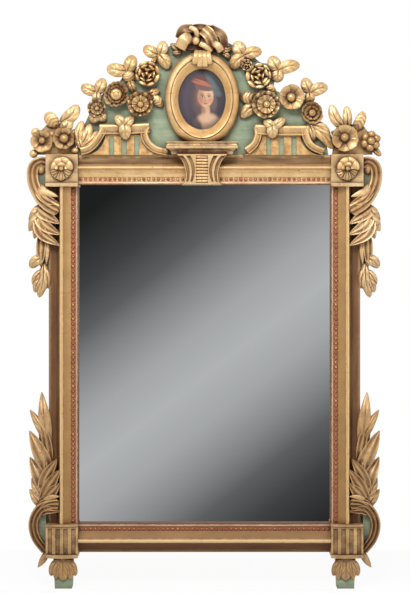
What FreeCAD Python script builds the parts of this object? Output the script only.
import FreeCAD, Part
import math
import os

# Pediment mirror: a carved, gilded and painted wall mirror with a medallion between flower garlands.
# Every piece is modelled with the frame lying on its back, as on a carver's bench: x runs to the right,
# y runs up the mirror and h is the height above the wall plane. stand_up() then turns it upright, so that
# +Z is up and the front faces -Y. The origin is the middle of the top rail's back face. Millimetres.

# Frame
sight_width = 504.0
sight_height = 677.0
member_width = 60.0
member_depth = 46.0
core_depth = 24.0

# Moulding, from the outer edge to the glass
edge_height = 18.0
edge_flat = 3.0
cavetto_width = 20.0
ridge_width = 7.5
ridge_rise = 4.0
slope_width = 14.5
slope_drop = 8.0
quirk_depth = 1.5
strip_width = 8.5
cavetto_bulge_share = -0.19
ridge_bulge_share = 0.45
slope_bulge_share = -0.05
lip_bulge_share = 0.4

# Mortise-and-tenon joints with wooden pins
tenon_length = 40.0
tenon_thickness = 8.0
tenon_near = 6.0
tenon_width = 36.0
tenon_floor = 11.0
tenon_clearance = 0.2
pin_radius = 3.5
pin_length = 22.0
pin_spacing = 18.0

# Glass, glue blocks and back boards in their rebates
glass_cover = 8.0
glass_seat = 20.0
glass_thickness = 4.0
glass_clearance = 1.0
plank_cover = 16.0
plank_rebate = 10.0
plank_thickness = 9.0
plank_clearance = 1.0
plank_gap = 1.5
plank_joint_shares = (0.35, 0.68)
glue_block_length = 34.0
glue_block_share = 0.8
glue_block_place_shares = (0.2, 0.5, 0.8)
nail_radius = 1.1
nail_head_radius = 3.2
nail_length = 20.0
nail_place_shares = (0.22, 0.78)

# Upper corner blocks with rosettes
block_size = 64.0
block_overhang = 4.0
block_depth = 26.0
block_margin = 3.0
block_ledge_height = 7.0
block_ledge_depth = 4.0
rosette_radius = 25.0
rosette_height = 13.0
rosette_petals = 6
rosette_stalk = 1.3

# Lower plinth blocks with flutes
plinth_height = 67.0
plinth_drop = 6.0
plinth_depth = 24.0
plinth_crown = 5.0
plinth_cap = 4.0
plinth_base = 7.0
plinth_flute_radius = 5.0
plinth_flute_sink_share = 0.55
plinth_flutes = 4

# Feet
foot_height = 64.0
foot_width = 40.0
foot_back = 4.0
foot_depth = 30.0
foot_taper = 3.0
foot_dowel_radius = 6.0
foot_dowel_length = 11.0
foot_leaf_depth = 11.0
foot_leaf_hub = 9.0
foot_leaf_length = 40.0
foot_leaf_width = 26.0
# Rows: angle in degrees, length and width as shares of the foot leaf's own
foot_leaf_shares = ((-90.0, 1.0, 1.0), (-152.0, 0.78, 0.8), (-28.0, 0.78, 0.8), (-121.0, 0.9, 0.7),
                    (-59.0, 0.9, 0.7))

# Pediment board, with a tongue lapped behind the top rail
pediment_shift = -5.0
pediment_half_width = 254.0
pediment_height = 236.0
board_thickness = 18.0
tongue_height = 20.0
tongue_thickness = 9.0
tongue_width = 470.0
tongue_clearance = 0.2
shoulder_x_share = 0.33
shoulder_y_share = 0.873
board_side_bulge_share = 0.135
board_crown_bulge_share = 0.18
# Bays cut into the board's edge between the sprays: x, y and radius as shares of the pediment's half width,
# height and height
board_bay_shares = ((-0.488, 0.864, 0.119), (-0.724, 0.703, 0.11), (0.504, 0.89, 0.11), (0.724, 0.695, 0.123),
                    (0.622, 0.593, 0.059))

# Medallion
medallion_rise = 111.0
medallion_half_width = 74.6
medallion_stretch = 1.28
medallion_sight = 47.0
medallion_side_height = 13.0
medallion_torus_width = 12.0
medallion_torus_rise = 9.0
medallion_groove = 3.0
medallion_groove_width = 2.5
medallion_lip_width = 4.0
medallion_lip_height = 10.0
medallion_rebate = 3.0
medallion_seat = 7.0
medallion_torus_bulge_share = 0.3
medallion_cove_bulge_share = -0.12
portrait_thickness = 5.0
portrait_clearance = 0.4
clasp_width = 37.0
clasp_height = 33.0
clasp_depth = 16.0
clasp_pleats = 4
clasp_foot_share = 0.62
clasp_bulge_share = 0.12
clasp_pleat_share = 0.6

# Shelf under the medallion: rows are half width, depth and height of each level, bottom first, as
# shares of the shelf's half width, depth and height
shelf_half_width = 71.0
shelf_depth = 42.0
shelf_height = 25.0
shelf_level_shares = ((0.84, 0.78, 0.0), (0.86, 0.8, 0.06), (0.88, 0.84, 0.26), (0.9, 0.86, 0.26),
                      (0.9, 0.86, 0.32), (0.96, 0.95, 0.46), (1.0, 1.0, 0.46), (1.0, 1.0, 0.66),
                      (0.98, 0.93, 0.66), (0.98, 0.88, 0.9), (1.0, 0.92, 0.9), (1.0, 0.92, 1.0))

# Console on the top rail
console_top = 50.0
console_waist = 33.0
console_foot = 40.0
console_front = 57.0
console_height = 60.0
console_waist_share = 0.88
console_side_bulge_share = -0.13
console_foot_bulge_share = -0.17
console_panel_half = 12.0
console_panel_depth = 4.0
console_panel_share = 0.05
console_ribs = 9
console_rib_radius = 2.4
console_flute_depth = 6.0
# Rows: the flute's two edges as shares of the way from the panel to the console's side
console_flute_shares = ((0.3, 0.52), (0.68, 0.92))

# Scroll frames: bridges with flared legs, and the fluted fields inside them
bridge_half_span = 50.0
bridge_top = 62.0
bridge_bar = 22.0
bridge_leg = 12.0
bridge_foot_reach = 40.0
bridge_depth = 14.0
bridge_listel = 5.0
bridge_listel_rise = 4.0
bridge_ear = 7.0
bridge_flare_bulge_share = 0.2
bridge_x_shares = {"left": -0.614, "right": 0.626}
field_depth = 9.0
field_flutes = 3
field_flute_radius = 7.0
field_flute_sink_share = 0.6
field_clearance = 0.1

# Leaves: shares of a blade's own length, width and thickness
leaf_length = 40.0
leaf_width = 24.0
leaf_depth = 9.0
leaf_hub = 7.0
leaf_waist_share = 0.52
leaf_stalk_share = 0.22
leaf_edge_share = 0.42
leaf_dome_share = 0.6
leaf_vary_share = 0.07
leaf_fall_share = 0.35
leaf_low_bulge_share = 0.12
leaf_high_bulge_share = 0.1

# Flowers: shares of the head's radius and height
flower_radius = 25.0
flower_height = 17.0
flower_stalk = 12.0
flower_stalk_share = 0.42
petal_notch_share = 0.8
petal_rim_share = 0.72
petal_bed_share = 0.45
petal_under_share = 0.3
petal_crease_share = 0.03
petal_crease_floor_share = 0.4
petal_crease_start_share = 1.12
rose_rim_share = 0.66
rose_lift_share = 0.45
rose_inner_share = 0.64
rose_heart_share = 0.5
rose_petals = 6
rose_inner_petals = 5
rose_turn = 11.0

# Sprays of the garlands. Each spray: foot place as shares of the pediment's half width and height, then
# its blades as rows of angle in degrees, length share and width share
spray_shares = {
    "garland_left_leaves_upper": ((-0.343, 0.85), ((146.0, 0.8, 0.95), (63.0, 0.8, 0.92),
                                                   (-57.0, 0.84, 1.0))),
    "garland_left_leaves_middle": ((-0.588, 0.712),
                                   ((165.0, 1.0, 1.0), (75.0, 0.86, 1.0), (-78.0, 0.78, 1.0))),
    "garland_left_leaves_lower": ((-0.822, 0.525),
                                  ((150.0, 0.92, 0.92), (70.0, 0.8, 1.0), (-90.0, 0.95, 0.8))),
    "garland_right_leaves_upper": ((0.335, 0.83), ((105.0, 0.8, 1.05), (18.0, 0.92, 0.84), (-124.0, 0.74,
                                                                                            1.05))),
    "garland_right_leaves_middle": ((0.594, 0.729),
                                    ((107.0, 0.74, 1.1), (10.0, 1.1, 1.0), (-82.0, 0.76, 1.0))),
    "garland_right_leaves_lower": ((0.838, 0.525),
                                   ((106.0, 0.82, 1.06), (22.0, 0.96, 1.0), (-80.0, 1.0, 0.82))),
}

# Flower heads of the garlands: place as shares of the pediment's half width and height, radius share of
# the flower's own, number of petals
daisy_shares = {
    "garland_left_daisy": ((-0.673, 0.511), 1.0, 10),
    "garland_right_daisy": ((0.701, 0.485), 1.0, 9),
}
anemone_shares = {
    "garland_left_anemone": ((-0.483, 0.425), 1.0, 7),
    "garland_right_anemone": ((0.509, 0.425), 1.12, 7),
}
rose_shares = {
    "garland_left_rose": ((-0.433, 0.684), 0.96),
    "garland_right_rose": ((0.448, 0.669), 1.0),
}
# Small closed flowers on the lower sprays, and the inner leaves that run from the anemones to the medallion
aster_shares = {
    "garland_left_leaves_lower": ((-0.824, 0.381), 0.66, 6),
    "garland_right_leaves_lower": ((0.866, 0.354), 0.86, 5),
}
inner_leaf_shares = {
    "garland_left_anemone": ((-0.437, 0.449), ((38.0, 1.0, 0.72), (-12.0, 0.9, 0.76))),
    "garland_right_anemone": ((0.461, 0.43), ((150.0, 1.16, 0.8), (-144.0, 1.1, 0.8))),
}
# Husks over the bridges: place as shares of the bridge's half span and top, and their blades
husk_blade_shares = ((155.0, 0.68, 0.78), (25.0, 0.66, 0.74), (-86.0, 0.76, 0.95))
husk_rise_share = 1.02
# Flank leaves beside each bridge's outer leg: blades on the left, mirrored on the right
flank_blade_shares = ((140.0, 0.9, 0.8), (-150.0, 1.1, 0.72))
flank_x_share = 0.95
flank_y_share = 0.64

# Bow: outlines as shares of the bow's half width and height; rows are x, y and the bulge of the run after it
bow_half_width = 52.0
bow_height = 56.0
bow_rise = 204.0
bow_depth = 20.0
bow_pocket_depth = 9.0
bow_knot_radius = 10.0
bow_knot_y_share = 0.42
bow_left_shares = ((-0.1, 0.36, 0.06), (-0.62, 0.02, -0.2), (-1.0, 0.38, -0.16), (-0.74, 0.8, -0.12),
                   (-0.2, 1.0, -0.1), (0.02, 0.62, 0.0))
bow_right_shares = ((-0.04, 0.62, 0.06), (0.3, 0.3, -0.05), (0.62, 0.02, 0.16), (0.98, 0.2, 0.14),
                    (0.96, 0.66, 0.12),
                    (0.52, 0.96, 0.1), (0.02, 0.98, 0.08))
bow_left_pocket_shares = ((-0.5, 0.24, -0.1), (-0.84, 0.42, -0.12), (-0.7, 0.66, -0.12), (-0.42, 0.62, -0.06))
bow_right_pocket_shares = ((0.48, 0.42, 0.06), (0.66, 0.2, 0.12), (0.86, 0.28, 0.12), (0.8, 0.56, 0.1))

# Bouquets on the upper corners: places as shares of the bouquet's half width and height
bouquet_half_width = 52.0
bouquet_height = 98.0
bouquet_back = 4.0
bouquet_depth = 16.0
bouquet_flower_radius = 22.0
bouquet_flower_height = 18.0
bouquet_outline_shares = ((-0.5, 0.0, 0.0), (0.46, 0.0, 0.15), (0.5, 0.36, 0.2), (0.1, 0.64, 0.2),
                          (-0.7, 0.44, 0.15),
                          (-0.9, 0.16, 0.1))
# Rows: foot, angle, length share and width share of each leaf, for the left bouquet
bouquet_left_leaf_shares = ((0.05, 0.56, 60.0, 1.15, 1.0), (-0.2, 0.5, 124.0, 1.0, 0.86))
bouquet_right_leaf_shares = ((0.05, 0.6, 128.0, 1.15, 1.0), (-0.14, 0.56, 32.0, 0.86, 0.92))
bouquet_berry_radius = 8.5
bouquet_left_berry_shares = ((-0.86, 0.42), (-0.24, 0.4))
bouquet_right_berry_shares = ((-0.56, 0.47), (-0.86, 0.32))
# Rows: x, y, radius share, petals; the first stands outward and the second over the stile
bouquet_flower_shares = {
    "left": ((-0.84, 0.3, 0.95, 6), (0.03, 0.33, 1.0, 8)),
    "right": ((-0.96, 0.28, 0.95, 7), (0.06, 0.36, 1.22, 6)),
}

# Acanthus beside the upper part of the stile, drawn for the left side: x is counted outward from the
# stile's outer edge and y downward from the rail's top edge, as shares of the spread and of the length
acanthus_board_depth = 12.0
acanthus_depth = 31.0
acanthus_seat = 6.0
acanthus_gouge = 6.0
acanthus_gouge_shares = (0.28, 0.72)
acanthus_scroll_share = 0.86
acanthus_eye_share = 0.2
upper_spread = 44.0
upper_length = 284.0
upper_drop = 6.0
upper_ground_shares = ((0.0, 0.03, 0.0), (0.3, 0.02, 0.12), (0.86, 0.16, 0.1), (0.42, 0.36, 0.05),
                       (0.24, 0.78, 0.0),
                       (0.0, 0.78, 0.0))
# Rows: outer edge and inner edge of the scroll, from its eye to its tail
upper_scroll_shares = (((0.3, 0.0), (0.34, 0.045)), ((0.82, 0.035), (0.6, 0.07)), ((1.0, 0.16), (0.68, 0.16)),
                       ((0.66, 0.32), (0.44, 0.27)), ((-0.34, 0.385), (-0.34, 0.345)))
upper_eye_shares = (0.42, 0.08)
# Rows: foot x and y, angle in degrees from outward to downward, length and width as shares of the length,
# height as a share of the carving's
upper_leaf_shares = ((0.45, 0.1, 120.6, 0.2, 0.066, 1.0), (0.6, 0.17, 137.6, 0.21, 0.063, 0.96),
                     (0.45, 0.35, 138.7, 0.19, 0.07, 0.96), (0.4, 0.38, 121.0, 0.27, 0.088, 1.0),
                     (0.44, 0.34, 72.4, 0.22, 0.07, 0.76), (0.3, 0.48, 90.0, 0.26, 0.077, 0.84),
                     (0.25, 0.7, 24.6, 0.11, 0.056, 0.7), (0.22, 0.7, 79.0, 0.28, 0.077, 0.8),
                     (0.36, 0.36, 92.5, 0.42, 0.05, 0.7))
lower_spread = 42.0
lower_length = 322.0
lower_ground_shares = ((0.0, 0.1, 0.0), (0.3, 0.1, 0.04), (0.5, 0.6, 0.1), (0.86, 0.78, 0.1),
                       (0.5, 0.95, 0.0),
                       (0.0, 0.98, 0.0))
lower_scroll_shares = (((-0.3, 0.615), (-0.3, 0.65)), ((0.62, 0.65), (0.42, 0.7)),
                       ((0.98, 0.79), (0.68, 0.79)),
                       ((0.76, 0.93), (0.56, 0.89)), ((0.2, 0.975), (0.26, 0.93)))
lower_eye_shares = (0.3, 0.9)
lower_leaf_shares = ((0.2, 0.22, -84.8, 0.235, 0.075, 0.86), (0.22, 0.2, -50.7, 0.15, 0.062, 0.76),
                     (0.2, 0.32, -48.3, 0.14, 0.062, 0.76), (0.22, 0.49, -49.3, 0.135, 0.066, 0.8),
                     (0.3, 0.6, -53.0, 0.11, 0.056, 0.74), (0.4, 0.66, -47.0, 0.105, 0.056, 0.7),
                     (0.2, 0.52, -124.5, 0.15, 0.075, 1.0), (0.3, 0.7, -139.3, 0.13, 0.075, 1.0),
                     (0.15, 0.38, -119.7, 0.11, 0.06, 0.9), (0.34, 0.72, -92.0, 0.52, 0.05, 0.7))

# Hangers on the back of the stiles
hanger_inset = 22.0
hanger_drop = 92.0
hanger_width = 16.0
hanger_length = 44.0
hanger_sheet = 1.6
ring_wire_radius = 2.0
ring_clearance = 0.06
ring_half_width = 13.0
ring_corner = 4.4
ring_straight = 8.0
screw_radius = 1.8
screw_head_radius = 3.6
screw_head_height = 1.6
screw_length = 16.0
screw_slot_width = 0.9
screw_slot_depth = 0.7
hanger_screw_shares = (0.42, 0.82)
tongue_screw_shares = (-0.84, -0.42, 0.0, 0.42, 0.84)

overrun = 1.0

# Places worked out from the sizes
half_sight = sight_width / 2
outer_x = half_sight + member_width
rail_top = (tongue_height + member_width - plank_cover) / 2
sight_top = rail_top - member_width
sight_bottom = sight_top - sight_height
rail_bottom = sight_bottom - member_width
block_bottom = rail_top - block_size
plinth_bottom = rail_bottom - plinth_drop
plinth_top = plinth_bottom + plinth_height
block_outer = outer_x + block_overhang
block_inner = block_outer - block_size
pediment_base = rail_top


def at(x, y, h=0.0):
    return FreeCAD.Vector(x, y, h)


def slab(x_low, x_high, y_low, y_high, h_low, h_high):
    return Part.makeBox(x_high - x_low, y_high - y_low, h_high - h_low, at(x_low, y_low, h_low))


def run(start, end, bulge):
    """Straight run, or an arc that rises to the right of it by a share of its length."""
    if bulge == 0:
        return Part.makeLine(start, end)
    side = (end - start).cross(at(0, 0, 1))
    middle = (start + end) / 2 + side * bulge
    return Part.Arc(start, middle, end).toShape()


def outline(corners, h=0.0):
    """Closed wire at height h through rows of x, y and the bulge of the run that follows."""
    edges = []
    for corner, following in zip(corners, corners[1:] + corners[:1]):
        edges.append(run(at(corner[0], corner[1], h), at(following[0], following[1], h), corner[2]))
    return Part.Wire(edges)


def prism(corners, h_low, h_high):
    return Part.Face(outline(list(corners), h_low)).extrude(at(0, 0, h_high - h_low))


def scaled(shares, x_zero, y_zero, x_size, y_size):
    """Outline rows given as shares, at their real place."""
    return [(x_zero + x * x_size, y_zero + y * y_size, bulge) for x, y, bulge in shares]


def placed(shape, x, y, h, angle=0.0):
    moved = shape.copy()
    moved.rotate(at(0, 0), at(0, 0, 1), angle)
    moved.translate(at(x, y, h))
    return moved


def largest(shape):
    return max(shape.Solids, key=lambda solid: solid.Volume)


def joined(first, *others):
    return largest(first.fuse(list(others)).removeSplitter())


def carved(piece, *neighbours):
    """The piece with its neighbours' room cut away, without the offcuts."""
    near = [other for other in neighbours if piece.BoundBox.intersect(other.BoundBox)]
    if not near:
        return piece
    return largest(piece.cut(near))


def mirrored(shape):
    return shape.mirror(at(0, 0), at(1, 0))


def turned(profile):
    """Solid turned about the h axis from rows of radius, height and bulge."""
    edges = []
    for row, following in zip(profile, profile[1:] + profile[:1]):
        start = at(row[0], 0, row[1])
        end = at(following[0], 0, following[1])
        side = (end - start).cross(at(0, -1, 0))
        if row[2] == 0:
            edges.append(Part.makeLine(start, end))
        else:
            edges.append(Part.Arc(start, (start + end) / 2 + side * row[2], end).toShape())
    return Part.Face(Part.Wire(edges)).revolve(at(0, 0), at(0, 0, 1), 360)


def moulding(place):
    """Face of the frame's section; place(u, h) puts u, counted from the outer edge, in the drawing."""
    cavetto_end = edge_flat + cavetto_width
    ridge_end = cavetto_end + ridge_width
    slope_end = ridge_end + slope_width
    strip_end = slope_end + strip_width
    ridge_foot = member_depth - ridge_rise
    slope_head = ridge_foot - quirk_depth
    slope_foot = slope_head - slope_drop
    strip_height = slope_foot - quirk_depth
    rows = [(0, 0, 0), (0, edge_height, 0), (edge_flat, edge_height, cavetto_bulge_share),
            (cavetto_end, ridge_foot, ridge_bulge_share), (ridge_end, ridge_foot, 0),
            (ridge_end, slope_head, slope_bulge_share), (slope_end, slope_foot, 0),
            (slope_end, strip_height, 0),
            (strip_end, strip_height, lip_bulge_share), (member_width, strip_height, 0), (member_width, 0, 0)]
    edges = []
    for row, following in zip(rows, rows[1:] + rows[:1]):
        start = place(row[0], row[1])
        end = place(following[0], following[1])
        if row[2] == 0:
            edges.append(Part.makeLine(start, end))
        else:
            rise_u = (row[1] - following[1]) * row[2]
            rise_h = (following[0] - row[0]) * row[2]
            middle = place((row[0] + following[0]) / 2 + rise_u, (row[1] + following[1]) / 2 + rise_h)
            edges.append(Part.Arc(start, middle, end).toShape())
    return Part.Face(Part.Wire(edges))


def tenon(side, outer_edge, direction, clearance):
    """Tenon of a rail into the stile on one side; the mortise is the same with a clearance."""
    near = outer_edge - direction * (tenon_near - clearance)
    far = outer_edge - direction * (tenon_near + tenon_width + clearance)
    tip = half_sight + tenon_length + clearance
    x_low, x_high = sorted((side * (half_sight - overrun), side * tip))
    return slab(x_low, x_high, min(near, far), max(near, far), tenon_floor - clearance,
                tenon_floor + tenon_thickness + clearance)


def pins():
    cylinders = []
    for side in (-1, 1):
        for outer_edge, direction in ((rail_top, 1), (rail_bottom, -1)):
            middle = outer_edge - direction * (tenon_near + tenon_width / 2)
            for step in (-1, 1):
                y = middle + step * pin_spacing / 2
                x = side * (half_sight + tenon_length / 2)
                cylinders.append(Part.makeCylinder(pin_radius, pin_length, at(x, y), at(0, 0, 1)))
    return cylinders


def rebates():
    glass_half = half_sight + glass_cover
    plank_half = half_sight + plank_cover
    return [slab(-glass_half, glass_half, sight_bottom - glass_cover, sight_top + glass_cover, 0, glass_seat),
            slab(-plank_half, plank_half, sight_bottom - plank_cover, sight_top + plank_cover, -overrun,
                 plank_rebate)]


def screw():
    """Countersunk screw driven up from h = 0, with a slot across its head."""
    neck = screw_head_height
    tip = screw_length - screw_head_radius
    body = turned([(0, 0, 0), (screw_head_radius, 0, 0), (screw_radius, neck, 0), (screw_radius, tip, 0),
                   (0, screw_length, 0)])
    slot = slab(-screw_head_radius - overrun, screw_head_radius + overrun, -screw_slot_width / 2,
                screw_slot_width / 2,
                -overrun, screw_slot_depth)
    return body.cut(slot)


def screw_room():
    """The room a driven screw takes up, without its slot."""
    return turned([(0, 0, 0), (screw_head_radius, 0, 0), (screw_radius, screw_head_height, 0),
                   (screw_radius, screw_length - screw_head_radius, 0), (0, screw_length, 0)])


def leaf_blade(length, width, thickness):
    """Leaf on h = 0, stalk at the origin and tip along +x: two rounded halves that meet along the midrib."""
    half = width / 2
    stalk = width * leaf_stalk_share
    waist = length * leaf_waist_share
    plan = prism([(0, -stalk, leaf_low_bulge_share), (waist, -half, leaf_high_bulge_share),
                  (length, 0, leaf_high_bulge_share), (waist, half, leaf_low_bulge_share), (0, stalk, 0)], 0,
                  thickness)
    quarter = half / 2
    rise = min(thickness * (1 - leaf_edge_share), quarter * leaf_dome_share)
    radius = (quarter ** 2 + rise ** 2) / (2 * rise)
    axis = thickness - radius
    halves = [Part.makeCylinder(radius, length + 2 * overrun, at(-overrun, side * quarter, axis), at(1, 0))
              for side in (-1, 1)]
    if axis > 0:
        halves.append(slab(-overrun, length + overrun, -width, width, -overrun, axis))
    fall = min(thickness, length / 3) * leaf_fall_share
    sweep = ((length / 2) ** 2 + fall ** 2) / (2 * fall)
    crown = Part.makeCylinder(sweep, width + 2 * overrun, at(length / 2, -half - overrun, thickness - sweep),
                              at(0, 1))
    return largest(plan.common(halves[0].fuse(halves[1:])).common(crown))


def blades(rows, x, y, h, thickness, hub):
    """Leaves that spring from one foot, joined by a domed hub; rows hold angle, length share, width share."""
    parts = []
    for index, (angle, long, wide) in enumerate(rows):
        own = thickness * (1 - leaf_vary_share * index)
        parts.append(placed(leaf_blade(leaf_length * long, leaf_width * wide, own), x, y, h, angle))
    return joined(Part.makeCylinder(hub, thickness * leaf_edge_share, at(x, y, h)), *parts)


def flower(radius, height, stalk, petals, button_share):
    """Open flower on a stalk that stands on h = 0: a scalloped dish with a domed button."""
    top = stalk + height
    dish = turned([(0, 0, 0), (radius * flower_stalk_share, 0, 0), (radius * flower_stalk_share, stalk, 0),
                   (radius, stalk + height * petal_under_share, 0),
                   (radius, stalk + height * petal_rim_share, 0),
                   (radius * button_share, stalk + height * petal_bed_share, 0),
                   (0, stalk + height * petal_bed_share, 0)])
    step = 2 * math.pi / petals
    half_petal = math.degrees(step) / 2
    dish = placed(dish, 0, 0, 0, half_petal)
    notch = radius * petal_notch_share
    rim = []
    for petal in range(petals):
        valley = at(notch * math.cos(petal * step), notch * math.sin(petal * step))
        peak = at(radius * math.cos((petal + 0.5) * step), radius * math.sin((petal + 0.5) * step))
        following = at(notch * math.cos((petal + 1) * step), notch * math.sin((petal + 1) * step))
        rim.append(Part.Arc(valley, peak, following).toShape())
    head = dish.common(Part.Face(Part.Wire(rim)).extrude(at(0, 0, top)))
    crease = radius * petal_crease_share
    floor = stalk + height * petal_crease_floor_share
    near = radius * button_share * petal_crease_start_share
    slot = slab(near, radius + overrun, -crease, crease, floor, top)
    head = head.cut([placed(slot, 0, 0, 0, petal * 2 * half_petal) for petal in range(petals)])
    dome = radius * button_share
    button = placed(Part.makeSphere(dome), 0, 0, top - dome, half_petal)
    return joined(head, button.common(slab(-dome, dome, -dome, dome, stalk, top)))


def rose(radius, height, stalk):
    """Full rose on a stalk: an outer ring of petals, and an inner ring turned between them about a heart."""
    rim = height * rose_rim_share
    lift = rim * rose_lift_share
    outer = flower(radius, rim, stalk, rose_petals, rose_heart_share)
    inner = flower(radius * rose_inner_share, height - lift, stalk + lift, rose_inner_petals,
                   rose_heart_share)
    return joined(outer, placed(inner, 0, 0, 0, rose_turn))


def band(edges, near, far, h_low, h_high):
    """Curved band between two smooth edges given as pairs of points, from one share of its width on."""
    def side(share):
        curve = Part.BSplineCurve()
        curve.interpolate([outer * (1 - share) + inner * share for outer, inner in edges])
        return curve.toShape()

    first = side(near)
    second = side(far)
    start = Part.makeLine(second.Vertexes[0].Point, first.Vertexes[0].Point)
    end = Part.makeLine(first.Vertexes[-1].Point, second.Vertexes[-1].Point)
    face = Part.Face(Part.Wire(Part.__sortEdges__([start, first, end, second])))
    face.translate(at(0, 0, h_low))
    return face.extrude(at(0, 0, h_high - h_low))


def pediment_place(shares):
    return pediment_shift + shares[0] * pediment_half_width, pediment_base + shares[1] * pediment_height


def make_board():
    """Arched board with bays in its edge and a tongue along its foot."""
    shoulder_x = pediment_half_width * shoulder_x_share
    shoulder_y = pediment_base + pediment_height * shoulder_y_share
    rows = [(-pediment_half_width, pediment_base, 0),
            (pediment_half_width, pediment_base, board_side_bulge_share),
            (shoulder_x, shoulder_y, board_crown_bulge_share),
            (-shoulder_x, shoulder_y, board_side_bulge_share)]
    field = placed(prism(rows, 0, board_thickness), pediment_shift, 0, 0)
    tongue = slab(-tongue_width / 2, tongue_width / 2, pediment_base - tongue_height, pediment_base, 0,
                  tongue_thickness)
    bays = []
    for x, y, radius in board_bay_shares:
        bay_x, bay_y = pediment_place((x, y))
        bays.append(Part.makeCylinder(radius * pediment_height, board_thickness + 2 * overrun,
                                      at(bay_x, bay_y, -overrun)))
    return joined(field, tongue).cut(bays)


def make_medallion():
    """Oval moulded ring with a rebate for its panel: turned round, then stretched upright."""
    outer = medallion_half_width
    torus_end = outer - medallion_torus_width
    groove_end = torus_end - medallion_groove_width
    lip_start = medallion_sight + medallion_lip_width
    side = medallion_side_height
    crest = side + medallion_torus_rise
    ring = turned([(medallion_sight + medallion_rebate, 0, 0), (outer, 0, 0),
                   (outer, side, medallion_torus_bulge_share),
                   (torus_end, crest - medallion_groove, 0), (groove_end, crest - medallion_groove, 0),
                   (groove_end, crest, medallion_cove_bulge_share), (lip_start, medallion_lip_height, 0),
                   (medallion_sight, medallion_lip_height, 0), (medallion_sight, medallion_seat, 0),
                   (medallion_sight + medallion_rebate, medallion_seat, 0)])
    return stretched(ring)


def stretched(shape):
    """Round medallion shape stretched to its oval and set in its place on the board."""
    stretch = FreeCAD.Matrix()
    stretch.scale(1, medallion_stretch, 1)
    oval = shape.transformGeometry(stretch)
    oval.translate(at(pediment_shift, pediment_base + medallion_rise, board_thickness))
    return oval


def make_clasp(neighbours):
    """Pleated leaf folded over the top of the medallion."""
    top = pediment_base + medallion_rise + medallion_half_width * medallion_stretch + overrun
    foot = clasp_width * clasp_foot_share
    height_low = board_thickness + medallion_lip_height
    height_high = board_thickness + medallion_side_height + medallion_torus_rise + clasp_depth / 2
    plan = prism([(-foot / 2, top - clasp_height, clasp_bulge_share),
                  (foot / 2, top - clasp_height, clasp_bulge_share),
                  (clasp_width / 2, top, clasp_bulge_share), (-clasp_width / 2, top, clasp_bulge_share)],
                 height_low, height_high)
    pleat = clasp_width / clasp_pleats * clasp_pleat_share
    spread = math.degrees(math.atan((clasp_width - foot) / 2 / clasp_height))
    low = top - clasp_height - pleat
    rods = []
    for index in range(clasp_pleats):
        lean = (2 * index - clasp_pleats + 1) / (clasp_pleats - 1)
        x = lean * (foot - foot / clasp_pleats) / 2
        heading = at(math.sin(math.radians(spread * lean)), math.cos(math.radians(spread * lean)))
        rods.append(Part.makeCylinder(pleat, 2 * clasp_height, at(x, low, height_high - pleat), heading))
    body = slab(-clasp_width, clasp_width, low, top + clasp_height, height_low, height_high - pleat)
    leaf = plan.common(joined(body, *rods))
    return carved(placed(leaf, pediment_shift, 0, 0), *neighbours)


def make_shelf():
    """Small cornice: levels of a returned moulding laid one on another."""
    levels = []
    for wide, deep, high in shelf_level_shares:
        x = shelf_half_width * wide
        y = pediment_base + shelf_height * high
        front = board_thickness + shelf_depth * deep
        corners = [at(-x, y, board_thickness), at(x, y, board_thickness), at(x, y, front), at(-x, y, front)]
        levels.append((y, Part.makePolygon(corners + corners[:1])))
    steps = [Part.makeLoft([low[1], high[1]], True, True) for low, high in zip(levels, levels[1:])
             if high[0] > low[0]]
    return placed(joined(steps[0], *steps[1:]), pediment_shift, 0, 0)


def make_console(neighbours):
    """Console with concave sides, curved flutes and a ribbed panel, seated on the rail's moulding."""
    top = rail_top
    bottom = rail_top - console_height
    waist = rail_top - console_height * console_waist_share
    rows = [(-console_foot, bottom, 0), (console_foot, bottom, console_foot_bulge_share),
            (console_waist, waist, console_side_bulge_share), (console_top, top, 0),
            (-console_top, top, console_side_bulge_share),
            (-console_waist, waist, console_foot_bulge_share)]
    body = prism(rows, board_thickness, console_front)
    floor = console_front - console_flute_depth
    for near, far in console_flute_shares:
        edge = [(console_panel_half + (reach - console_panel_half) * share)
                for reach in (console_waist, console_top)
                for share in (near, far)]
        flute = prism([(edge[0], waist, 0), (edge[1], waist, console_side_bulge_share),
                       (edge[3], top - console_height * console_panel_share, 0),
                       (edge[2], top - console_height * console_panel_share, -console_side_bulge_share)],
                      floor, console_front + overrun)
        tail = Part.makeCylinder((edge[1] - edge[0]) / 2, console_front,
                                 at((edge[0] + edge[1]) / 2, waist, floor))
        body = body.cut([flute, tail, mirrored(flute), mirrored(tail)])
    panel_top = top - console_height * console_panel_share
    panel_bottom = bottom + console_height * console_panel_share
    panel = slab(-console_panel_half, console_panel_half, panel_bottom, panel_top,
                 console_front - console_panel_depth,
                 console_front + overrun)
    body = body.cut(panel)
    pitch = (panel_top - panel_bottom) / console_ribs
    ribs = [Part.makeCylinder(console_rib_radius, 2 * console_panel_half,
                              at(-console_panel_half, panel_bottom + pitch * (index + 0.5),
                                 console_front - console_panel_depth),
                              at(1, 0)) for index in range(console_ribs)]
    return carved(placed(joined(body, *ribs), pediment_shift, 0, 0), *neighbours)


def bridge_rows(inset):
    """Half of the bridge's outline on the right of its middle, set in by a share of the leg's width."""
    span = bridge_half_span - inset
    top = bridge_top - inset
    foot = bridge_half_span + bridge_foot_reach - inset
    return span, top, foot


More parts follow.
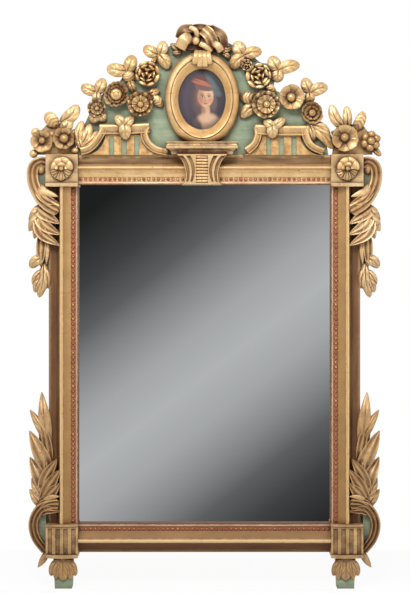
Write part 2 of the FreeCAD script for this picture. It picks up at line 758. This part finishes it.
def make_bridge(side):
    """Moulded bridge with flared legs, its husk leaf over the bar and its flank leaves outside."""
    x = pediment_shift + bridge_x_shares[side] * pediment_half_width
    y = pediment_base
    span, top, foot = bridge_rows(0.0)
    under = top - bridge_bar
    inner = span - bridge_leg
    inner_foot = foot - bridge_leg
    toe = bridge_leg
    rows = [(inner_foot, 0, 0), (foot, 0, 0), (foot, toe, -bridge_flare_bulge_share), (span, under, 0),
            (span + bridge_ear, top, 0), (-span - bridge_ear, top, 0),
            (-span, under, -bridge_flare_bulge_share),
            (-foot, toe, 0), (-foot, 0, 0), (-inner_foot, 0, bridge_flare_bulge_share), (-inner, under, 0),
            (inner, under, bridge_flare_bulge_share)]
    band = prism(rows, 0, bridge_depth)
    ridge_rows = [(foot - bridge_listel, toe / 2, 0), (foot, toe, -bridge_flare_bulge_share),
                  (span, under, 0),
                  (span + bridge_ear, top, 0), (-span - bridge_ear, top, 0),
                  (-span, under, -bridge_flare_bulge_share),
                  (-foot, toe, 0), (-foot + bridge_listel, toe / 2, bridge_flare_bulge_share),
                  (-span + bridge_listel, under, 0), (-span + bridge_listel, top - bridge_listel, 0),
                  (span - bridge_listel, top - bridge_listel, 0),
                  (span - bridge_listel, under, bridge_flare_bulge_share)]
    listel = prism(ridge_rows, bridge_depth, bridge_depth + bridge_listel_rise)
    return placed(joined(band, listel), x, y, board_thickness)


def make_field(side, bridge):
    """Fluted field that fills the inside of a bridge."""
    x = pediment_shift + bridge_x_shares[side] * pediment_half_width
    span, top, foot = bridge_rows(bridge_leg + field_clearance)
    under = bridge_top - bridge_bar - field_clearance
    field = prism([(-foot, 0, 0), (foot, 0, -bridge_flare_bulge_share), (span, under, 0),
                   (-span, under, -bridge_flare_bulge_share)], 0, field_depth)
    pitch = 2 * span / field_flutes
    flutes = []
    for index in range(field_flutes):
        flute_x = -span + pitch * (index + 0.5)
        crest = field_depth + field_flute_radius * field_flute_sink_share
        head = under - field_flute_radius
        flutes.append(Part.makeCylinder(field_flute_radius, head + overrun, at(flute_x, -overrun, crest),
                                        at(0, 1)))
        flutes.append(Part.makeSphere(field_flute_radius, at(flute_x, head, crest)))
    return carved(placed(field.cut(flutes), x, pediment_base, board_thickness), bridge)


def bridge_leaves(side):
    """Husk over the bar and the leaves outside the outer leg, as one carving with the bridge."""
    sign = -1 if side == "left" else 1
    x = pediment_shift + bridge_x_shares[side] * pediment_half_width
    husk_y = pediment_base + bridge_top * husk_rise_share
    thick = bridge_depth + bridge_listel_rise + leaf_depth
    husk = blades(husk_blade_shares, x, husk_y, board_thickness, thick, leaf_hub)
    flank_x = x + sign * bridge_half_span * flank_x_share
    flank_y = pediment_base + bridge_top * flank_y_share
    rows = [(angle if sign < 0 else 180 - angle, long, wide) for angle, long, wide in flank_blade_shares]
    flank = blades(rows, flank_x, flank_y, board_thickness, leaf_depth + bridge_listel_rise, leaf_hub)
    return husk, flank


def make_bow():
    """Bow of two hollowed loops about a round knot."""
    y = pediment_base + bow_rise
    lobes = []
    for lobe, pocket in ((bow_left_shares, bow_left_pocket_shares),
                         (bow_right_shares, bow_right_pocket_shares)):
        solid = prism(scaled(lobe, 0, 0, bow_half_width, bow_height), 0, bow_depth)
        hole = prism(scaled(pocket, 0, 0, bow_half_width, bow_height), bow_depth - bow_pocket_depth,
                     bow_depth + overrun)
        lobes.append(solid.cut(hole))
    knot = Part.makeSphere(bow_knot_radius, at(0, bow_height * bow_knot_y_share, bow_depth))
    room = slab(-bow_half_width, bow_half_width, 0, bow_height, 0, bow_depth + bow_knot_radius)
    return placed(joined(lobes[0], lobes[1], knot.common(room)), pediment_shift, y, board_thickness)


def make_spray(name):
    foot, rows = spray_shares[name]
    x, y = pediment_place(foot)
    spray = blades(rows, x, y, board_thickness, leaf_depth, leaf_hub)
    if name in aster_shares:
        head_place, radius, petals = aster_shares[name]
        head_x, head_y = pediment_place(head_place)
        head = flower(flower_radius * radius, flower_height, flower_stalk, petals, petal_bed_share)
        spray = joined(spray, placed(head, head_x, head_y, board_thickness))
    return spray


def make_daisy(name):
    foot, radius, petals = daisy_shares[name]
    x, y = pediment_place(foot)
    head = flower(flower_radius * radius, flower_height, flower_stalk, petals, petal_bed_share)
    return placed(head, x, y, board_thickness)


def make_anemone(name):
    foot, radius, petals = anemone_shares[name]
    x, y = pediment_place(foot)
    head = flower(flower_radius * radius, flower_height, flower_stalk, petals, petal_under_share)
    leaf_foot, rows = inner_leaf_shares[name]
    leaf_x, leaf_y = pediment_place(leaf_foot)
    return joined(placed(head, x, y, board_thickness),
                  blades(rows, leaf_x, leaf_y, board_thickness, leaf_depth, leaf_hub))


def make_rose(name):
    foot, radius = rose_shares[name]
    x, y = pediment_place(foot)
    return placed(rose(flower_radius * radius, flower_height, flower_stalk), x, y, board_thickness)


def make_bouquet(side):
    """Leafy spray that stands on the stile's top, and its two flower heads."""
    sign = -1 if side == "left" else 1
    leaf_rows = bouquet_left_leaf_shares if side == "left" else bouquet_right_leaf_shares
    berry_rows = bouquet_left_berry_shares if side == "left" else bouquet_right_berry_shares
    middle = sign * (outer_x - member_width / 2)
    rows = scaled(bouquet_outline_shares, 0, rail_top, bouquet_half_width, bouquet_height)
    plate = prism(rows, bouquet_back, bouquet_back + bouquet_depth)
    if side == "right":
        plate = mirrored(plate)
    plate = placed(plate, middle, 0, 0)
    front = bouquet_back + bouquet_depth
    leaves = []
    for x, y, angle, long, wide in leaf_rows:
        leaf = leaf_blade(leaf_length * long, leaf_width * wide, leaf_depth + bouquet_depth / 2)
        leaf_x = middle - sign * x * bouquet_half_width
        leaves.append(placed(leaf, leaf_x, rail_top + y * bouquet_height, bouquet_back + bouquet_depth / 2,
                             angle))
    berries = [Part.makeSphere(bouquet_berry_radius,
                               at(middle - sign * x * bouquet_half_width, rail_top + y * bouquet_height,
                                  front))
               for x, y in berry_rows]
    spray = joined(plate, *leaves, *berries)
    heads = []
    for x, y, radius, petals in bouquet_flower_shares[side]:
        head = flower(bouquet_flower_radius * radius, bouquet_flower_height, flower_stalk, petals,
                      petal_bed_share)
        heads.append(placed(head, middle - sign * x * bouquet_half_width, rail_top + y * bouquet_height,
                            front))
    return spray, heads


def make_acanthus(spread, length, y_zero, ground_shares, scroll_shares, eye_shares, leaf_shares):
    """Carved side piece for the left stile: a ground, a gouged scroll with its eye, and curling leaves."""
    def spot(place):
        return -outer_x - place[0] * spread, y_zero - place[1] * length

    ground = prism([spot(row) + (row[2],) for row in ground_shares], 0, acanthus_board_depth)
    crest = acanthus_board_depth + acanthus_depth
    edges = [(at(*spot(outer)), at(*spot(inner))) for outer, inner in scroll_shares]
    near, far = acanthus_gouge_shares
    rim = acanthus_board_depth + acanthus_depth * acanthus_scroll_share
    scroll = band(edges, 0, 1, acanthus_seat, rim).cut(band(edges, near, far, rim - acanthus_gouge,
                                                            rim + overrun))
    eye_x, eye_y = spot(eye_shares)
    eye = Part.makeSphere(acanthus_eye_share * spread, at(eye_x, eye_y, rim - acanthus_gouge))
    neck = Part.makeCylinder(acanthus_eye_share * spread, rim - acanthus_gouge, at(eye_x, eye_y))
    parts = [scroll, neck, eye]
    for x, y, angle, long, wide, high in leaf_shares:
        leaf_x, leaf_y = spot((x, y))
        leaf = leaf_blade(long * length, wide * length, (crest - acanthus_seat) * high)
        parts.append(placed(leaf, leaf_x, leaf_y, acanthus_seat, 180 + angle))
    return joined(ground, *parts)


def make_foot(side):
    x = side * (outer_x - member_width / 2)
    low = plinth_bottom - foot_height
    half = foot_width / 2
    front = foot_back + foot_depth
    peg = placed(prism([(-half + foot_taper, low, 0), (half - foot_taper, low, 0), (half, plinth_bottom, 0),
                        (-half, plinth_bottom, 0)], foot_back, front), x, 0, 0)
    dowel = Part.makeCylinder(foot_dowel_radius, foot_dowel_length,
                              at(x, plinth_bottom - overrun, core_depth / 2), at(0, 1))
    return joined(peg, dowel)


def make_foot_leaf(side):
    x = side * (outer_x - member_width / 2)
    front = foot_back + foot_depth
    y = plinth_bottom - foot_leaf_hub
    parts = [placed(leaf_blade(foot_leaf_length * long, foot_leaf_width * wide, foot_leaf_depth), x, y,
                    front, angle)
             for angle, long, wide in foot_leaf_shares]
    hub = Part.makeCylinder(foot_leaf_hub, foot_leaf_depth, at(x, y, front))
    below = slab(x - block_size, x + block_size, plinth_bottom - 2 * foot_height, plinth_bottom, 0,
                 member_depth)
    return joined(hub, *parts).common(below)


def make_plinth(side):
    """Plinth block with a bowed front, upright flutes, a cap fillet and a base fillet."""
    x_low, x_high = sorted((side * block_outer, side * block_inner))
    back = core_depth
    front = core_depth + plinth_depth
    width = x_high - x_low

    def bowed(y_low, y_high, proud):
        edges = [Part.makeLine(at(x_low, y_low, front + proud), at(x_low, y_low, back)),
                 Part.makeLine(at(x_low, y_low, back), at(x_high, y_low, back)),
                 Part.makeLine(at(x_high, y_low, back), at(x_high, y_low, front + proud)),
                 Part.Arc(at(x_high, y_low, front + proud),
                          at((x_low + x_high) / 2, y_low, front + plinth_crown + proud),
                          at(x_low, y_low, front + proud)).toShape()]
        return Part.Face(Part.Wire(edges)).extrude(at(0, y_high - y_low))

    block = bowed(plinth_bottom, plinth_top, 0.0)
    pitch = width / plinth_flutes
    cuts = []
    for index in range(plinth_flutes):
        flute_x = x_low + pitch * (index + 0.5)
        share = (flute_x - (x_low + x_high) / 2) / (width / 2)
        surface = front + plinth_crown * (1 - share ** 2)
        centre = at(flute_x, plinth_bottom + plinth_base,
                    surface + plinth_flute_radius * (1 - plinth_flute_sink_share))
        cuts.append(Part.makeCylinder(plinth_flute_radius, plinth_height - plinth_base - 2 * plinth_cap,
                                      centre, at(0, 1)))
    return joined(block.cut(cuts), bowed(plinth_top - plinth_cap, plinth_top, plinth_cap / 2),
                  bowed(plinth_bottom, plinth_bottom + plinth_base, plinth_cap / 2))


def make_block(side):
    x_low, x_high = sorted((side * block_outer, side * block_inner))
    front = core_depth + block_depth
    block = slab(x_low, x_high, block_bottom, rail_top, core_depth, front)
    ledge = slab(x_low, x_high, block_bottom, block_bottom + block_ledge_height, core_depth,
                 front + block_ledge_depth)
    return joined(block, ledge)


def make_rosette(side):
    """Carved rosette on the block's face, as wide as the face allows."""
    x = side * (block_outer + block_inner) / 2
    y = (block_bottom + block_ledge_height + rail_top) / 2
    half = (block_size - block_ledge_height) / 2 - block_margin
    radius = min(rosette_radius, half)
    head = flower(radius, rosette_height, rosette_stalk, rosette_petals, petal_bed_share)
    return placed(head, x, y, core_depth + block_depth)


def make_hanger(side):
    """Strap folded round the ring's bar, with its two screw holes; and the ring that hangs in it."""
    x = side * (outer_x - hanger_inset)
    knuckle = ring_wire_radius + ring_clearance + hanger_sheet
    y = rail_top - hanger_drop - hanger_length
    half = hanger_width / 2
    strap = slab(x - half, x + half, y, y + hanger_length, -hanger_sheet, 0)
    eye = Part.makeCylinder(knuckle, hanger_width, at(x - half, y, -knuckle), at(1, 0))
    bore = Part.makeCylinder(ring_wire_radius + ring_clearance, hanger_width + 2 * overrun,
                             at(x - half - overrun, y, -knuckle), at(1, 0))
    plate = joined(strap, eye).cut(bore)
    holes = [placed(screw_room(), x, y + hanger_length * share, -hanger_sheet)
             for share in hanger_screw_shares]
    wide = ring_half_width
    corner = ring_corner
    bend = math.sqrt(0.5)
    bar = wide - corner
    leg = corner + ring_straight
    path = [Part.makeLine(at(-bar, 0), at(bar, 0)),
            Part.Arc(at(bar, 0), at(bar + corner * bend, -corner + corner * bend),
                     at(wide, -corner)).toShape(),
            Part.makeLine(at(wide, -corner), at(wide, -leg)),
            Part.Arc(at(wide, -leg), at(0, -leg - wide), at(-wide, -leg)).toShape(),
            Part.makeLine(at(-wide, -leg), at(-wide, -corner)),
            Part.Arc(at(-wide, -corner), at(-bar - corner * bend, -corner + corner * bend),
                     at(-bar, 0)).toShape()]
    pieces = []
    for edge in path:
        start = edge.valueAt(edge.FirstParameter)
        section = Part.Wire([Part.Circle(start, edge.tangentAt(edge.FirstParameter),
                                         ring_wire_radius).toShape()])
        pieces.append(Part.Wire([edge]).makePipeShell([section], True, True))
    ring = placed(pieces[0].fuse(pieces[1:]), x, y, -knuckle)
    return plate.cut(holes), ring, holes


def stand_up(shape):
    upright = shape.copy()
    upright.rotate(at(0, 0), at(1, 0), 90)
    return upright


def build():
    nodes = {}
    all_pins = pins()
    nodes["joint_pegs"] = Part.makeCompound(all_pins)

    hangers = {side: make_hanger(side) for side in (-1, 1)}
    tongue_screws = [at(share * tongue_width / 2, pediment_base - tongue_height / 2)
                     for share in tongue_screw_shares]
    tongue_rooms = [placed(screw_room(), spot.x, spot.y, 0) for spot in tongue_screws]
    driven = [placed(screw(), spot.x, spot.y, 0) for spot in tongue_screws]
    for side in (-1, 1):
        for room in hangers[side][2]:
            driven.append(placed(screw(), side * (outer_x - hanger_inset), room.BoundBox.Center.y,
                                 -hanger_sheet))
    nodes["wood_screws"] = Part.makeCompound(driven)
    nodes["hanger_plates"] = Part.makeCompound([hangers[-1][0], hangers[1][0]])
    nodes["hanger_ring_left"] = hangers[-1][1]
    nodes["hanger_ring_right"] = hangers[1][1]

    plank_half = half_sight + plank_cover - plank_clearance
    plank_low = sight_bottom - plank_cover + plank_clearance
    plank_high = sight_top + plank_cover - plank_clearance
    plank_back = plank_rebate - plank_thickness
    joints = [plank_low] + [plank_low + share * (plank_high - plank_low)
                            for share in plank_joint_shares] + [plank_high]
    nails = []
    for name, low, high in zip(("lower", "middle", "upper"), joints, joints[1:]):
        low = low + (plank_gap / 2 if low > plank_low else 0)
        high = high - (plank_gap / 2 if high < plank_high else 0)
        plank = slab(-plank_half, plank_half, low, high, plank_back, plank_rebate)
        own = []
        for side in (-1, 1):
            for share in nail_place_shares:
                x = side * (half_sight + (glass_cover + plank_cover) / 2)
                y = low + share * (high - low)
                shank = Part.makeCylinder(nail_radius, nail_length, at(x, y))
                head = Part.makeCylinder(nail_head_radius, plank_back, at(x, y))
                own.append(joined(shank, head))
        nodes["back_plank_" + name] = plank.cut(own)
        nails.extend(own)
    nodes["back_nails"] = Part.makeCompound(nails)

    glass_x = half_sight + glass_cover - glass_clearance
    glass_low = sight_bottom - glass_cover + glass_clearance
    glass_high = sight_top + glass_cover - glass_clearance
    glass_back = glass_seat - glass_thickness
    nodes["mirror_glass"] = slab(-glass_x, glass_x, glass_low, glass_high, glass_back, glass_seat)
    block_wide = glass_cover * glue_block_share
    blocks = []
    for share in glue_block_place_shares:
        middle = sight_bottom + share * sight_height
        across = (share - 0.5) * sight_width
        for side in (-1, 1):
            wall = half_sight + glass_cover
            x_low, x_high = sorted((side * wall, side * (wall - block_wide)))
            blocks.append(slab(x_low, x_high, middle - glue_block_length / 2, middle + glue_block_length / 2,
                               plank_rebate, glass_back))
        blocks.append(slab(across - glue_block_length / 2, across + glue_block_length / 2,
                           sight_top + glass_cover - block_wide,
                           sight_top + glass_cover, plank_rebate, glass_back))
        blocks.append(slab(across - glue_block_length / 2, across + glue_block_length / 2,
                           sight_bottom - glass_cover,
                           sight_bottom - glass_cover + block_wide, plank_rebate, glass_back))
    nodes["glass_blocks"] = Part.makeCompound(blocks)

    feet = {side: make_foot(side) for side in (-1, 1)}
    for side, word in ((-1, "left"), (1, "right")):
        core_x = sorted((side * half_sight, side * outer_x))
        core = slab(core_x[0], core_x[1], plinth_bottom, rail_top, 0, core_depth)
        length = moulding(lambda u, h: at(side * (outer_x - u), plinth_top,
                                          h)).extrude(at(0, block_bottom - plinth_top))
        cuts = rebates() + all_pins + hangers[side][2] + nails + [feet[side]]
        cuts += [tenon(side, rail_top, 1, tenon_clearance), tenon(side, rail_bottom, -1, tenon_clearance)]
        nodes["stile_" + word] = largest(joined(core, length).cut(cuts))
        nodes["foot_" + word] = feet[side]
        nodes["foot_leaf_" + word] = make_foot_leaf(side)
        nodes["plinth_block_" + word] = make_plinth(side)
        nodes["corner_block_" + word] = make_block(side)
        nodes["corner_rosette_" + word] = make_rosette(side)

    board = make_board().cut(tongue_rooms)
    nodes["pediment_board"] = board
    for word, outer_edge, direction in (("top", rail_top, 1), ("bottom", rail_bottom, -1)):
        face = moulding(lambda u, h: at(-half_sight, outer_edge - direction * u, h))
        cuts = rebates() + all_pins
        if word == "top":
            lap = slab(-tongue_width / 2 - tongue_clearance, tongue_width / 2 + tongue_clearance,
                       rail_top - tongue_height - tongue_clearance, rail_top + overrun, -overrun,
                       tongue_thickness)
            cuts += [lap] + tongue_rooms
        rail = joined(face.extrude(at(sight_width, 0)), tenon(-1, outer_edge, direction, 0.0),
                      tenon(1, outer_edge, direction, 0.0))
        nodes[word + "_rail"] = largest(rail.cut(cuts))

    shelf = make_shelf()
    nodes["medallion_shelf"] = shelf
    nodes["rail_console"] = make_console([nodes["top_rail"]])
    medallion = carved(make_medallion(), shelf)
    nodes["medallion_frame"] = medallion
    panel_radius = medallion_sight + medallion_rebate - portrait_clearance
    panel = Part.makeCylinder(panel_radius, portrait_thickness, at(0, 0, medallion_seat - portrait_thickness))
    nodes["medallion_portrait"] = stretched(panel)
    bow = make_bow()
    nodes["medallion_clasp"] = make_clasp([medallion, board])
    nodes["ribbon_bow"] = carved(bow, medallion, nodes["medallion_clasp"])

    for side, word in ((-1, "left"), (1, "right")):
        bridge = make_bridge(word)
        husk, flank = bridge_leaves(word)
        field = make_field(word, bridge)
        bridge = joined(bridge, carved(husk, field), flank)
        nodes["scroll_frame_" + word] = carved(bridge, shelf, nodes["corner_block_" + word],
                                               nodes["stile_" + word])
        nodes["fluted_panel_" + word] = carved(field, nodes["scroll_frame_" + word])
        heads = []
        for kind, maker in (("rose", make_rose), ("daisy", make_daisy), ("anemone", make_anemone)):
            name = "garland_" + word + "_" + kind
            nodes[name] = carved(maker(name), medallion, nodes["scroll_frame_" + word], *heads)
            heads.append(nodes[name])
        for level in ("upper", "middle", "lower"):
            name = "garland_" + word + "_leaves_" + level
            nodes[name] = carved(make_spray(name), bow, medallion, nodes["scroll_frame_" + word], *heads)
            heads.append(nodes[name])
        spray, flowers = make_bouquet(word)
        nodes["bouquet_" + word + "_flower_inner"] = carved(flowers[1], nodes["scroll_frame_" + word])
        nodes["bouquet_" + word + "_flower_outer"] = carved(flowers[0], flowers[1])
        nodes["bouquet_" + word + "_spray"] = carved(spray, board, nodes["scroll_frame_" + word], *flowers)

    upper = make_acanthus(upper_spread, upper_length, rail_top - upper_drop, upper_ground_shares,
                          upper_scroll_shares,
                          upper_eye_shares, upper_leaf_shares)
    lower = make_acanthus(lower_spread, lower_length, plinth_bottom + lower_length, lower_ground_shares,
                          lower_scroll_shares, lower_eye_shares, lower_leaf_shares)
    for level, piece in (("upper", upper), ("lower", lower)):
        for word, shape in (("left", piece), ("right", mirrored(piece))):
            near = [nodes["stile_" + word], nodes["corner_block_" + word], nodes["plinth_block_" + word],
                    nodes["foot_leaf_" + word], nodes["bouquet_" + word + "_spray"],
                    nodes["bouquet_" + word + "_flower_outer"]]
            nodes["acanthus_" + level + "_" + word] = carved(shape, *near)
    return nodes


if __name__ == "__main__":
    os.makedirs("parts", exist_ok=True)
    for node, solid in build().items():
        stand_up(solid).exportStep("parts/" + node + ".step")
